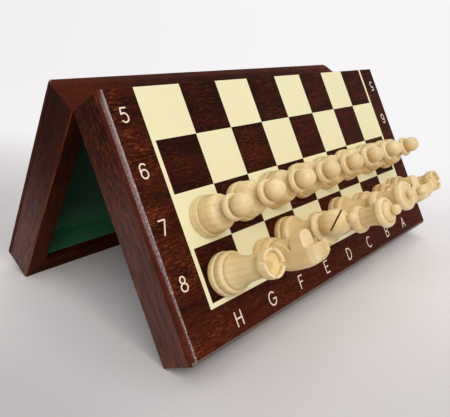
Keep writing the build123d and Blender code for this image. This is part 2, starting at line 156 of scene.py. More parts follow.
class ChessBoxColours(bpy.types.PropertyGroup):
    """Colours of the finishes."""

    stain_dark: tint("Stain, dark", "Deep tone of the stained wood", (31, 10, 5))
    stain_mid: tint("Stain, middle", "Body tone of the stained wood", (74, 28, 14))
    stain_fleck: tint("Stain, fleck", "Bright dashes of the stained wood", (140, 70, 30))
    edge_tone: tint("Panel edge", "Lighter edge of the panels", (78, 32, 20))
    # worn: painted highlight on the upper edge of the end chamfers, speckled like a worn edge; dimmed, the
    # painted grey reflection on the free-edge chamfer
    worn: tint("Worn edge", "Rubbed upper edge of the chamfer at the ends", (196, 180, 170))
    # painted reflection: a greyer cast on the end rails' outer faces toward the free edge
    painted_reflection: tint("Painted reflection", "Greyer cast of the end rails toward the free edge", (112, 82, 76))
    cream: tint("Cream", "Light veneer", (240, 231, 186))
    maple: tint("Men", "Bare turned wood of the men", (236, 209, 152))
    maple_shade: tint("Men, late wood", "Darker rings of the men's wood", (200, 166, 106))
    # groove: dust and painted shade in the men's grooves and waists; painted shade in the bishop's slit
    groove: tint("Men, grooves", "Wax and dust in the grooves of the men", (150, 118, 74))
    # painted highlight and worn brightness on the men's convex edges
    rubbed_and_highlit: tint("Men, rubbed edges", "Bright rubbed edges of the men", (246, 232, 196))
    end_grain: tint("End grain", "End grain in the rooks' wells", (238, 214, 152))
    end_ring: tint("End grain, rings", "Rings in the rooks' wells", (204, 162, 92))
    ink: tint("Coordinates", "Paint of the coordinates", (238, 220, 194))
    felt: tint("Felt", "Lining of the trays", (48, 108, 70))
    brass: tint("Brass", "Hinges and hooks", (200, 164, 96))
    steel: tint("Steel", "Magnets and steel sheets", (150, 150, 152))
    floor: tint("Floor", "Table and backdrop", (237, 231, 229))


# ---- shader maths
def math_node(operation, backwards=False):
    """A method that adds one Math node."""

    def method(self, *others):
        values = (*others, self) if backwards else (self, *others)
        return self.shader.node("ShaderNodeMath", {"operation": operation}, values)

    return method


class Value:
    """A node's output socket that adds Math nodes when it is used in an expression."""

    def __init__(self, shader, socket):
        self.shader, self.socket = shader, socket

    __add__ = __radd__ = math_node("ADD")
    __sub__, __rsub__ = math_node("SUBTRACT"), math_node("SUBTRACT", backwards=True)
    __mul__ = __rmul__ = math_node("MULTIPLY")
    __abs__, least, sine = math_node("ABSOLUTE"), math_node("MINIMUM"), math_node("SINE")

    def step(self, low, high):
        """Nought below low, one above high, smooth between."""
        values = {"Value": self, 1: low, 2: high}
        return self.shader.node("ShaderNodeMapRange", {"interpolation_type": "SMOOTHSTEP"}, values)


class Shader:
    """A material whose nodes are added by name."""

    def __init__(self, name):
        self.material = bpy.data.materials.new(name)
        self.material.use_nodes = True
        self.tree = self.material.node_tree
        self.tree.nodes.clear()
        self.colours = bpy.context.scene.chess_box_colours

    def node(self, kind, settings=None, inputs=(), output=0):
        """One node: its settings first, then the values or links of its sockets."""
        made = self.tree.nodes.new(kind)
        for key, value in (settings or {}).items():
            setattr(made, key, value)
        for key, value in inputs.items() if isinstance(inputs, dict) else enumerate(inputs):
            if isinstance(value, Value):
                self.tree.links.new(value.socket, made.inputs[key])
            else:
                made.inputs[key].default_value = value
        return Value(self, made.outputs[output]) if len(made.outputs) else None

    def mix(self, amount, first, second):
        """A blend of two colours, each a link or a triple."""
        pair = [c if isinstance(c, Value) else (*c, 1.0) for c in (first, second)]
        values = {"Factor": amount, 6: pair[0], 7: pair[1]}
        return self.node("ShaderNodeMix", {"data_type": "RGBA"}, values, output=2)

    def noise(self, place, scale, detail=3.0, roughness=0.55, distortion=0.0):
        """Fractal noise, from nought to one."""
        values = {"Vector": place, "Scale": scale, "Detail": detail}
        values.update(Roughness=roughness, Distortion=distortion)
        return self.node("ShaderNodeTexNoise", None, values)

    def here(self):
        """Object coordinates."""
        return self.node("ShaderNodeTexCoord", output=3)

    def stretched(self, place, axis, share):
        """A place that changes along one axis at a share of its own pace."""
        factors = [share if index == axis else 1 for index in range(3)]
        return self.node("ShaderNodeVectorMath", {"operation": "MULTIPLY"}, (place, factors))

    def place_in_half(self, half, origin=(0, 0, 0)):
        """Object coordinates turned into a half's frame, in metres from an origin that is
        given in millimetres."""
        turn = Matrix(half_axes(half).T.tolist()).to_euler()
        start = in_half(np.array(origin), half).tolist()
        values = {"Vector": self.here(), "Location": start, "Rotation": turn}
        return self.node("ShaderNodeMapping", {"vector_type": "TEXTURE"}, values)

    def along_axis(self, place, axis):
        """One coordinate of a place, in millimetres."""
        return self.node("ShaderNodeSeparateXYZ", None, (place,), output=axis) * (1 / MM)

    def bump(self, height, strength, distance):
        """A normal from a height, distance in millimetres."""
        values = {"Strength": strength, "Distance": distance * MM, "Height": height}
        return self.node("ShaderNodeBump", None, values)

    def finish(self, colour, roughness, normal=None, **fixed):
        """The surface shader and the output; fixed sockets are named with underscores."""
        values = {"Base Color": colour, "Roughness": roughness}
        if normal:
            values["Normal"] = normal
        values.update({key.replace("_", " "): value for key, value in fixed.items()})
        surface = self.node("ShaderNodeBsdfPrincipled", None, values)
        self.node("ShaderNodeOutputMaterial", None, (surface,))
        return self.material


# ---- finishes
CHAMFER = 2.05  # width of the chamfer round the playing face
LAST_FILES = (57.0, 59.0)  # where the darker squares of the two files at the +X end begin
GRAIN, DASH, PORE = 0.085, 0.22, 0.09  # how much slower each changes along the tree than across


def stained_wood(name, half, along, lift=0.0, tones=None, sheen=0.03, painted_reflection=None, dashed=0.6):
    """Stained, lacquered wood. Broad figure plus fine streaks pick between the dark and middle stain;
    short dashes add the bright tone; pores darken and dent. The squares of the last files are darker, and
    a painted light makes the hinge rails' outer faces warmer near the ends. The chamfer at each end of the
    playing face is polished, and a speckled painted highlight, like a worn edge, runs along its upper
    edge; the one along the free edge is painted with a dull grey reflection. The painted reflection, a
    weight and the stretch over which it comes, greys the outer faces of the end rails, which are darker
    near the hinge; a painted highlight of brighter brown runs along their inner arris."""
    s = Shader(name)
    colours = s.colours
    dark, mid, fleck = tones or (colours.stain_dark, colours.stain_mid, colours.stain_fleck)
    place = s.place_in_half(half)
    across, reach, rise = [s.along_axis(place, axis) for axis in range(3)]
    outward = abs(across)
    end, top = outward - HALF_WIDTH, rise - FACE_RISE  # nought at the face, negative inside
    grain = s.stretched(place, along, GRAIN)
    figure = s.noise(grain, 95, 4, 0.6, 0.35)
    streak = s.noise(grain, 620, 5, 0.62, 0.25)
    spark = s.noise(s.stretched(place, along, DASH), 1450, 3, 0.6, 0.4).step(0.48, 0.66)
    pore = s.noise(s.stretched(place, along, PORE), 1600, 2).step(0.56, 0.68)
    patch = s.noise(place, 48).step(0.34, 0.62)
    speck = s.noise(s.stretched(place, 1, 0.35), 2300, 3, 0.7)
    near = across.step(-90.0, 130.0) * 0.2 + across.step(112.0, 120.0) * 0.4 + 0.3
    field = [1 - part.step(FIELD_SIDE, FIELD_SIDE + 1) for part in (outward, reach)]
    field = field[0] * field[1] * top.step(-1.0, -0.5)
    last = across.step(*LAST_FILES)
    body = figure * 0.85 + streak * 0.75 + reach.step(30.0, 140.0) * 0.14 + (lift - 0.36)
    colour = s.mix((body - field * (last * 0.1 + 0.03)).step(0.15, 0.85), dark, mid)
    # painted reflection greys the end rails' outer faces toward the free edge; they are also darker near
    # the hinge
    if painted_reflection:
        outer = end.step(-0.5, -0.3)
        grey = s.mix(streak.step(0.3, 0.7), colours.painted_reflection * 0.5, colours.painted_reflection)
        colour = s.mix((1 - reach.step(0.0, 60.0)) * outer * 0.5, colour, dark)
        colour = s.mix(reach.step(*painted_reflection[1:]) * outer * painted_reflection[0], colour, grey)
    # painted light: the hinge rails' outer faces lighter and warmer near the ends
    painted_end_light = (1 - reach.step(0.3, 0.8)) * end.step(-75.0, -5.0)
    colour = s.mix(painted_end_light * 0.6, colour, mid * 1.25)
    spark = spark * (patch * 0.85 + 0.15) * near * dashed * (1 - field * last * 0.45)
    colour = s.mix(spark, colour, fleck)
    colour = s.mix(pore * 0.5, colour, dark)
    if painted_reflection:
        # painted highlight: a brighter brown along the end rails' arris at the rim
        arris = (1 - rise.step(0.2, 0.6)) * end.step(-0.7, -0.4)
        colour = s.mix(arris * (streak.step(0.3, 0.6) * 0.6 + 0.2), colour, fleck)
    upper = top.step(-CHAMFER - 0.15, -CHAMFER + 0.15)
    sides = [part.step(-CHAMFER - 0.1, -CHAMFER + 0.1) for part in (end, reach - FREE_REACH)]
    chamfer, dull = [side * upper for side in sides]
    # painted highlight, speckled like a worn edge, along the upper edge of the end chamfers, stronger near
    # the hinge
    rubbed_and_highlit = chamfer * (1 - end.step(-1.8, -0.8))
    rubbed_and_highlit = rubbed_and_highlit * (speck + (1 - reach.step(20.0, 90.0)) * 0.12).step(0.40, 0.66)
    colour = s.mix(rubbed_and_highlit * 0.5, colour, colours.worn)
    # painted reflection: the free-edge chamfer greyed to a dull sheen
    colour = s.mix(dull * 0.55, colour, colours.worn * 0.42)
    normal = s.bump(streak * 0.4 - pore, 0.3, 0.04)
    rough = 0.42 + streak * 0.12 + pore * 0.15 - chamfer * 0.2
    thin = (end + reach.step(60.0, 130.0) * 1.2).step(-0.4, 0.0)
    coat = chamfer * (1 - thin) * (speck.step(0.38, 0.58) * 0.8 + 0.2) * reach.step(1.5, 6.0)
    return s.finish(colour, rough, normal, Specular_IOR_Level=sheen, Coat_Weight=coat, Coat_Roughness=0.16)


def cream_veneer(name, half):
    """Pale close-grained veneer: a faint streak along X and a faint cast from square to square. Within a
    fraction of a millimetre of the hinge line it is coloured the middle stain tone."""
    s = Shader(name)
    place = s.place_in_half(half)
    streak = s.noise(s.stretched(place, 0, 0.06), 700, 4, 0.6)
    cast = (streak * 0.5 + s.noise(place, 38, 2) * 0.5).step(0.30, 0.75) * 0.4
    colour = s.mix(cast, s.colours.cream, s.colours.cream * 0.88)
    colour = s.mix(s.along_axis(place, 1).step(0.16, 0.24), s.colours.stain_mid, colour)
    return s.finish(colour, 0.42 + streak * 0.1, s.bump(streak, 0.2, 0.03), Specular_IOR_Level=0.2)


def turned_maple(name):
    """Bare waxed wood of the men. The growth rings are a wave of the distance from a pith well outside the
    man, read from the man's own coordinates. By the attribute that says how hollow each point is, grooves
    and waists are darker, dust and painted shade, and convex edges brighter, worn bright and painted
    highlight."""
    s = Shader(name)
    colours = s.colours
    own = s.node("ShaderNodeAttribute", {"attribute_name": "own_place"}, output=1)
    hollow = s.node("ShaderNodeAttribute", {"attribute_name": "hollow"}, output=2)
    drift = s.noise(s.stretched(own, 2, 0.25), 75)
    wave = {"wave_type": "RINGS", "rings_direction": "Z", "wave_profile": "SIN"}
    values = {"Vector": own, "Scale": 95, "Distortion": 2.2, "Detail": 2, "Detail Scale": 0.6}
    rings = s.node("ShaderNodeTexWave", wave, values, output=1)
    fibre = s.noise(s.stretched(own, 2, 0.05), 1300)
    amount = rings.step(0.35, 1.0) * 0.16 + drift.step(0.35, 0.7) * 0.42 + fibre.step(0.45, 0.75) * 0.22
    colour = s.mix(amount, colours.maple, colours.maple_shade)
    # dust and painted shade: darker in the grooves and, at the broad scale, in the waists
    colour = s.mix(hollow.step(0.0, 1.0) * 0.6, colour, colours.groove)
    # painted highlight and worn brightness on convex edges
    colour = s.mix((0 - hollow).step(0.0, 1.2) * 0.35, colour, colours.rubbed_and_highlit)
    normal = s.bump(fibre * 0.5 + rings * 0.1, 0.15, 0.04)
    rough = 0.34 + fibre * 0.12
    return s.finish(colour, rough, normal, Specular_IOR_Level=0.4, Coat_Weight=0.3, Coat_Roughness=0.2)


def golden_end_grain(name, middle):
    """End grain of a rook's well: rings round its own middle, a dot where the centre was."""
    s = Shader(name)
    place = s.place_in_half("front", middle)
    flat = s.stretched(place, 2, 0)
    reach = s.node("ShaderNodeVectorMath", {"operation": "LENGTH"}, (flat,), output=1) * (1 / MM)
    blot = s.noise(place, 260)
    rings = ((reach + s.noise(place, 420, 2) * 1.4) * 7.5).sine()
    tone = rings.step(-0.4, 1.0) * 0.25 + blot.step(0.35, 0.7) * 0.55
    colour = s.mix(tone, s.colours.end_grain, s.colours.end_ring)
    colour = s.mix(reach.step(0.2, 0.45), s.colours.end_ring * 0.35, colour)
    return s.finish(colour, 0.5 + blot * 0.1, Specular_IOR_Level=0.3)


def speckled(name, colour, tones, scale, rough, shine):
    """A dull surface: fine noise between two shares of one colour."""
    s = Shader(name)
    fuzz = s.mix(s.noise(s.here(), scale), colour * tones[0], colour * tones[1])
    return s.finish(fuzz, rough, Specular_IOR_Level=shine)


def felt(name, half):
    """Pressed wool: two sizes of fuzz in colour and height, with a soft sheen. Painted shade makes it
    darker toward the hinge, blending from a shaded to a lit copy of the same colours."""
    s = Shader(name)
    place = s.place_in_half(half)
    fuzz, clumps = s.noise(place, 2600, 4, 0.7), s.noise(place, 420, 3, 0.6)
    tone = (fuzz * 0.55 + clumps * 0.3 + s.noise(place, 30, 2) * 0.3).step(0.32, 0.85)
    # painted shade: dark toward the hinge, lit near the free edge
    shade = s.along_axis(place, 1).step(98.0, 128.0)
    shaded_pile, lit_pile = [s.mix(tone, s.colours.felt * 0.5 * k, s.colours.felt * 1.5 * k) for k in (0.3, 1)]
    normal = s.bump(fuzz * 0.7 + clumps * 0.6, 0.7, 0.22)
    pile = s.mix(shade, shaded_pile, lit_pile)
    return s.finish(pile, 0.95, normal, Sheen_Weight=0.15, Sheen_Roughness=0.5, Specular_IOR_Level=0.05)


def worked_metal(name, colour, rough, tarnish):
    """Plated or brushed metal: scratches one way, a darker cast in clouds."""
    s = Shader(name)
    scratch = s.noise(s.stretched(s.here(), 0, 0.08), 3200, 3, 0.6)
    cloud = s.noise(s.here(), 180, 3, 0.6)
    tone = s.mix(cloud.step(0.35, 0.75) * 0.7, colour, colour * tarnish)
    rough = rough + cloud * 0.2 + scratch * 0.08
    return s.finish(tone, rough, s.bump(scratch, 0.12, 0.02), Metallic=1.0)


def paint(name):
    """Printed coordinates: matt paint, a little thin in places."""
    s = Shader(name)
    thin = s.noise(s.here(), 1500).step(0.5, 0.8)
    tone = s.mix(thin * 0.5, s.colours.ink, s.colours.ink * 0.8)
    return s.finish(tone, 0.5 + thin * 0.1, Specular_IOR_Level=0.3)


# ---- mesh work
def grid(points, close_columns=False):
    """Vertices and quads of a rows x columns array of points, joined round if asked."""
    rows, columns = points.shape[:2]
    index = np.arange(rows * columns).reshape(rows, columns)
    if close_columns:
        index = np.concatenate([index, index[:, :1]], axis=1)
    quads = np.stack([index[:-1, :-1], index[1:, :-1], index[1:, 1:], index[:-1, 1:]], axis=-1)
    return points.reshape(-1, 3), quads.reshape(-1, 4)


def joined(parts):
    """Several vertex and quad arrays as one."""
    starts = np.cumsum([0] + [len(points) for points, _ in parts[:-1]])
    points = np.concatenate([part[0] for part in parts])
    quads = np.concatenate([part[1] + start for part, start in zip(parts, starts)])
    return points, quads


def moved(part, shift):
    """A vertex and quad pair shifted."""
    return part[0] + np.asarray(shift, dtype=float), part[1]


def spun(part, angle):
    """A vertex and quad pair turned about Z."""
    cosine, sine = cos(angle), sin(angle)
    return part[0] @ np.array([[cosine, sine, 0], [-sine, cosine, 0], [0, 0, 1]]), part[1]


def laid(part):
    """A vertex and quad pair whose rise becomes its reach."""
    return part[0][:, [0, 2, 1]], part[1]


WELD = 2e-6  # metres within which vertices are one


@contextlib.contextmanager
def editing(mesh):
    """A mesh opened for editing with its doubled vertices merged, then written back."""
    work = bmesh.new()
    work.from_mesh(mesh)
    bmesh.ops.remove_doubles(work, verts=work.verts, dist=WELD)
    yield work
    work.to_mesh(mesh)
    work.free()


def build(name, part, half, materials, hollow=None):
    """A mesh object from millimetre points in a half's frame, welded and facing out."""
    points, quads = part
    mesh = bpy.data.meshes.new(name)
    mesh.from_pydata(in_half(points, half).tolist(), [], quads.tolist())
    if hollow is not None:
        keep(mesh, "hollow", "FLOAT", np.repeat(hollow, len(points) // len(hollow)))
    with editing(mesh) as work:
        bmesh.ops.recalc_face_normals(work, faces=work.faces)
    return shown(name, mesh, materials, 40)


def keep(mesh, name, kind, values):
    """Writes one value or vector for each vertex."""
    layer = mesh.attributes.new(name, kind, "POINT")
    layer.data.foreach_set("value" if kind == "FLOAT" else "vector", values.astype(np.float32).ravel())


def linked(name, data):
    """A new object in the scene."""
    item = bpy.data.objects.new(name, data)
    bpy.context.scene.collection.objects.link(item)
    return item


def shown(name, mesh, materials, sharp):
    """Links a mesh to the scene, smooth but for the edges sharper than an angle."""
    mesh.polygons.foreach_set("use_smooth", np.ones(len(mesh.polygons), dtype=bool))
    mesh.set_sharp_from_angle(angle=radians(sharp))
    for material in materials if isinstance(materials, (list, tuple)) else [materials]:
        mesh.materials.append(material)
    return linked(name, mesh)


def seat(item, body, slot, *nodes):
    """Ties a piece to its body and hides the nodes that it stands for. The slot is not used."""
    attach(item, body)
    if nodes:
        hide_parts(*nodes)
    return item


def softened(node, name, material, body, slot, width, segments=3):
    """A copy of a node with its edges rounded over, but not where two parts meet on a
    slanting face."""
    mesh = frame["nodes"][node].data.copy()
    mesh.name = name
    mesh.materials.clear()
    with editing(mesh) as work:
        flat = radians(1)
        bmesh.ops.dissolve_limit(work, angle_limit=flat, verts=work.verts, edges=work.edges)
        weight = work.edges.layers.float.new("bevel_weight_edge")
        for edge in work.edges:
            faces = edge.link_faces
            if len(faces) == 2 and edge.calc_face_angle() > radians(30):
                slant = any(min(abs(face.normal.x), face.normal.yz.length) > 0.1 for face in faces)
                edge[weight] = 0.0 if slant and slot == "dark_wood" else 1.0
    item = shown(name, mesh, material, 60)
    bevel = item.modifiers.new("arris", "BEVEL")
    bevel.width, bevel.segments = width, segments
    bevel.limit_method = "WEIGHT"
    bevel.harden_normals = True
    return seat(item, body, slot, node)


def dress(node, material):
    """Gives a CAD node that stays in view its finish."""
    item = frame["nodes"][node]
    item.data.materials.clear()
    item.data.materials.append(material)


# ---- turned shapes
def evenly(path, step, extra=0):
    """Points at equal distances along a path."""
    length = np.concatenate([[0], np.cumsum(np.linalg.norm(np.diff(path, axis=0), axis=1))])
    even = np.linspace(0, length[-1], max(3, int(length[-1] / step) + extra))
    return np.stack([np.interp(even, length, path[:, axis]) for axis in (0, 1)], axis=1)


def averaged(path, reach):
    """Each point's mean with its neighbours up to that many places away."""
    padded = np.pad(path, ((reach, reach), (0, 0)), mode="edge")
    return np.mean([padded[k : k + len(path)] for k in range(2 * reach + 1)], axis=0)


def outline(points, soft=0.22):
    """A smooth profile through (radius, height, bulge) points.

    Each stretch is a straight line, or an arc that stands out from it by the bulge; the
    whole is sampled evenly and its corners are worn round by a short moving average.
    """
    step = 0.25
    path = []
    for (r0, h0, _), (r1, h1, bulge) in zip(points, points[1:]):
        start, end = np.array([r0, h0]), np.array([r1, h1])
        span = np.linalg.norm(end - start)
        share = np.linspace(0, 1, max(3, int(span / step)))[:, None]
        if bulge == 0:
            path.append(start + share * (end - start))
            continue
        radius = (span**2 / 4 + bulge**2) / (2 * bulge)
        out = np.array([end[1] - start[1], start[0] - end[0]]) / span
        centre = (start + end) / 2 + out * (bulge - radius)
        first = atan2(*(start - centre)[::-1])
        turn = atan2(*(end - centre)[::-1]) - first
        shortest = abs(bulge) < span / 2
        turn = (turn + pi) % (2 * pi) - pi if shortest else turn % (2 * pi)
        angle = first + share[:, 0] * turn
        path.append(centre + abs(radius) * np.stack([np.cos(angle), np.sin(angle)], axis=1))
    path = evenly(np.concatenate(path), step, 2)
    worn = averaged(path, max(1, int(soft / step) + 1))
    worn[0], worn[-1] = path[0], path[-1]
    return worn


def hollows(profile):
    """How hollow the outline is at each point: how far it lies inside the mean of its
    neighbours, at a fine and at a broad scale. Above nought in a groove or a waist, below
    on an edge or a ball."""
    heading = np.gradient(profile, axis=0)
    outward = np.stack([heading[:, 1], -heading[:, 0]], axis=1)
    outward /= np.maximum(np.linalg.norm(outward, axis=1), 1e-6)[:, None]
    total = 0
    for reach, depth, weight in ((6, 0.33, 0.7), (26, 2.0, 0.55)):
        inside = np.sum((averaged(profile, reach) - profile) * outward, axis=1)
        total = total + weight * np.clip(inside / depth, -1, 1)
    return np.clip(total, -1, 1)


def turned(profile, angles=112):
    """A profile carried round Z: (r cos a, r sin a, h) for each profile point and angle a.
    An integer gives even angles; an array gives the angles themselves."""
    around = np.linspace(0, 2 * pi, angles, endpoint=False) if np.isscalar(angles) else angles
    radius, height = profile[:, :1], profile[:, 1:]
    points = [radius * np.cos(around), radius * np.sin(around), height + 0 * around]
    return grid(np.stack(points, axis=-1), close_columns=True)


def foot(radius):
    """Underside, disc, groove and bead that every man but the pawn stands on."""
    return [
        (0, 0, 0), (radius - 0.5, 0, 0), (radius - 0.1, 0.4, 0.1), (radius, 3.0, 0.05),
        (radius - 0.5, 3.7, 0.1), (radius - 1.05, 4.7, -0.15), (radius - 0.7, 6.4, 0.25),
        (radius - 1.5, 9.0, 0.45),
    ]


def pawn(head):
    """A pawn: broad foot, bell, collar, and a ball of the given radius on a thin neck."""
    neck, centre = 4.0, 27.1
    below = sqrt(head**2 - neck**2)
    span = hypot(neck, head + below)
    bulge = head - sqrt(head**2 - span**2 / 4)
    return [
        (0, 0, 0), (10.9, 0, 0), (11.3, 0.4, 0.1), (11.3, 3.4, 0.1), (10.9, 5.1, 0.1),
        (10.25, 5.5, -0.05), (10.35, 7.4, 0.1), (9.9, 10.0, 0.1), (8.4, 13.9, 0.3),
        (5.2, 17.3, -0.4), (5.2, 19.0, -0.05), (6.7, 19.9, -0.15), (7.1, 21.4, 0.35),
        (6.1, 23.3, 0.35), (neck, centre - below, -0.1), (0, centre + head, bulge),
    ]


ROOK = foot(11.8) + [
    (9.3, 9.7, -0.15), (9.2, 11.0, 0.1), (6.6, 20.0, -0.45), (6.0, 26.0, -0.1),
    (6.2, 28.4, -0.1), (7.4, 30.9, -0.12), (7.6, 32.6, 0.05), (7.55, 36.0, 0),
    (6.1, 36.0, 0), (5.95, 33.6, 0), (0.45, 33.45, 0), (0, 33.4, 0),
]
BISHOP = foot(11.4) + [
    (8.3, 10.3, -0.2), (5.9, 16.2, -0.35), (5.0, 22.6, -0.2), (7.6, 24.5, -0.3),
    (8.0, 25.7, 0.3), (7.2, 27.2, 0.15), (5.2, 28.5, -0.2), (7.8, 35.6, 0.7),
    (1.9, 45.0, 1.6), (0, 50.78, 2.2),
]
KING = foot(11.8) + [
    (8.7, 10.6, -0.2), (6.4, 18.0, -0.3), (5.4, 26.0, -0.15), (8.0, 29.2, -0.25),
    (8.35, 30.2, 0.25), (6.1, 34.9, 0.9), (5.7, 38.6, -0.1), (6.5, 43.0, -0.1),
    (8.35, 47.0, -0.2), (9.0, 48.4, 0.35), (8.85, 49.7, 0.1), (7.4, 51.2, 0.3),
    (6.2, 51.0, -0.15), (2.0, 53.6, 0.9), (0, 58.92, 1.95),
]
QUEEN = foot(11.8) + [
    (8.7, 10.6, -0.2), (6.2, 17.0, -0.3), (5.2, 25.5, -0.15), (7.7, 29.2, -0.25),
    (8.0, 30.2, 0.25), (6.0, 34.3, 0.8), (5.5, 38.4, -0.1), (6.3, 43.0, -0.15),
    (8.3, 47.6, -0.25), (9.15, 49.3, 0.4), (9.1, 50.8, 0.15), (8.0, 52.3, 0.35),
    (5.9, 51.8, -0.15), (1.65, 52.3, -0.2), (0, 56.25, 1.4),
]
PAWN_HEAD = 5.4
FULL_HEADS = {"pawn_h7": 5.85, "pawn_g7": 5.75, "pawn_f7": 5.95}  # turned by hand, not all alike
PROFILES = {"rook": ROOK, "bishop": BISHOP, "king": KING, "queen": QUEEN}
ROOK_NOTCH = 0.9  # half width of the four notches of the crown
ROOK_TURN = -0.35  # how far the notches are turned about the man's axis
ROOK_FLOOR = 33.6  # rise of the well floor, to which the notches are cut
ROOK_CROWN, ROOK_WELL = 7.0, 4.5  # radii at which the notches are measured and begin
KNIGHT_THROAT = (-1.1, 22.6)  # deepest point between chest and muzzle, reach and rise
KNIGHT_CHEEK = 32.2  # where the cheeks begin to taper to the ears
# The bishop's saw cut: the middle of its straight floor, the floor's direction, the
# direction square to its two flat sides, and half its width.
SLIT_MIDDLE = np.array([2.85, -1.2, 38.6])
SLIT_ALONG = np.array([-0.645, -0.651, 0.4])
SLIT_FLAT = np.array([0.336, -0.712, -0.617])
SLIT_HALF = 0.5


def rook_shape(profile):
    """A turned profile whose crown drops to the well floor near four directions: points
    within the notch half width of the X or Y plane are held down to the floor."""
    quarter = pi / 2
    edge = ROOK_NOTCH / ROOK_CROWN
    near = np.array([-1.02, -0.98, -0.3, 0.3, 0.98, 1.02]) * edge
    between = np.linspace(edge * 1.3, quarter - edge * 1.3, 22)
    around = np.arange(4)[:, None] * quarter + np.concatenate([near, between])
    points, quads = turned(profile, np.sort(around.ravel()))
    offset = np.arctan2(points[:, 1], points[:, 0]) + quarter / 2
    held = np.abs(offset % quarter - quarter / 2) < edge
    held &= (points[:, 2] > ROOK_FLOOR) & (np.hypot(points[:, 0], points[:, 1]) > ROOK_WELL)
    points[held, 2] = ROOK_FLOOR
    return spun((points, quads), ROOK_TURN)


def slit_blade():
    """The saw that cuts the bishop's head: a flat box that ends at the floor of the cut."""
    depth, half_length = 24, 18
    back = np.cross(SLIT_ALONG, SLIT_FLAT)
    edges = [(a, c) for a in (-half_length, half_length) for c in (-SLIT_HALF, SLIT_HALF)]
    corners = np.array([[[a, b, c] for b in (0, depth)] for a, c in edges])
    points = SLIT_MIDDLE + corners @ np.array([SLIT_ALONG, back, SLIT_FLAT])
    low, high = points[[0, 1, 3, 2], 0], points[[0, 1, 3, 2], 1]
    sides = grid(np.stack([low, high]), close_columns=True)
    return joined([sides, grid(low[[[0, 1], [3, 2]]]), grid(high[[[0, 1], [3, 2]]])])


def give_grain(mesh, man, seed):
    """Gives a man its own coordinates for the grain, shifted so that the pith lies beside
    it, and returns the middles of its faces from its foot."""
    random = np.random.default_rng(seed)
    angle, distance = random.uniform(0, 2 * pi), random.uniform(14, 40)
    pith = np.array([distance * cos(angle), distance * sin(angle), random.uniform(-50, 50)])
    local = local_points(mesh, "front") - man_foot(man)
    keep(mesh, "own_place", "FLOAT_VECTOR", (local + pith) * MM)
    return to_half(vectors(mesh.polygons, "center"), "front") - man_foot(man)


def finished(context, item):
    """The item's mesh with its modifiers applied."""
    context.view_layer.update()
    return bpy.data.meshes.new_from_object(item.evaluated_get(context.evaluated_depsgraph_get()))


# ---- lettering
def arc(x, y, rx, ry, first, last, count=17):
    """Points of an ellipse arc, angles in degrees from the right, counter-clockwise."""
    angle = np.radians(np.linspace(first, last, count))
    return np.stack([x + rx * np.cos(angle), y + ry * np.sin(angle)], axis=1)


# Strokes of each sign in a box one high, middle at x = 0: points and arcs.
def traced(stroke):
    """A stroke's points: a pair is a point, six numbers or more are an arc."""
    return np.concatenate([arc(*piece) if len(piece) > 2 else [piece] for piece in stroke])


SIGNS = {
    "A": [[(-0.34, 0), (0, 1), (0.34, 0)], [(-0.22, 0.33), (0.22, 0.33)]],
    "B": [
        [(-0.26, 0), (-0.26, 1)],
        [(-0.26, 1), (0.02, 1), (0.02, 0.765, 0.22, 0.235, 90, -90), (-0.26, 0.53)],
        [(-0.26, 0.53), (0.04, 0.53), (0.04, 0.265, 0.25, 0.265, 90, -90), (-0.26, 0)],
    ],
    "C": [[(0.04, 0.5, 0.38, 0.5, 52, 308, 27)]],
    "D": [
        [(-0.3, 0), (-0.3, 1)],
        [(-0.3, 1), (-0.04, 1), (-0.04, 0.5, 0.38, 0.5, 90, -90, 25), (-0.3, 0)],
    ],
    "E": [[(0.24, 1), (-0.24, 1), (-0.24, 0), (0.24, 0)], [(-0.24, 0.52), (0.17, 0.52)]],
    "F": [[(0.24, 1), (-0.24, 1), (-0.24, 0)], [(-0.24, 0.52), (0.17, 0.52)]],
    "G": [[(0.02, 0.5, 0.4, 0.5, 50, 350, 29), (0.41, 0.46), (0.08, 0.46)]],
    "H": [[(-0.3, 0), (-0.3, 1)], [(0.3, 0), (0.3, 1)], [(-0.3, 0.52), (0.3, 0.52)]],
    "1": [[(-0.16, 0.82), (0.04, 1), (0.04, 0)]],
    "2": [[(0, 0.73, 0.27, 0.27, 170, -38), (-0.29, 0), (0.29, 0)]],
    "3": [[(0, 0.76, 0.24, 0.24, 150, -90)], [(0, 0.26, 0.28, 0.26, 90, -155)]],
    "4": [[(0.12, 0), (0.12, 1), (-0.32, 0.27), (0.3, 0.27)]],
    "5": [[(0.24, 1), (-0.17, 1), (-0.23, 0.56), (-0.02, 0.32, 0.29, 0.32, 128, -142, 23)]],
    "6": [[(0.01, 0.7, 0.28, 0.3, 38, 180), (0, 0.3, 0.28, 0.3, 178, 520, 33)]],
    "7": [[(-0.27, 1), (0.27, 1), (-0.1, 0)]],
    "8": [[(0, 0.77, 0.21, 0.23, -90, 270, 29)], [(0, 0.27, 0.28, 0.27, 90, 450, 31)]],
}


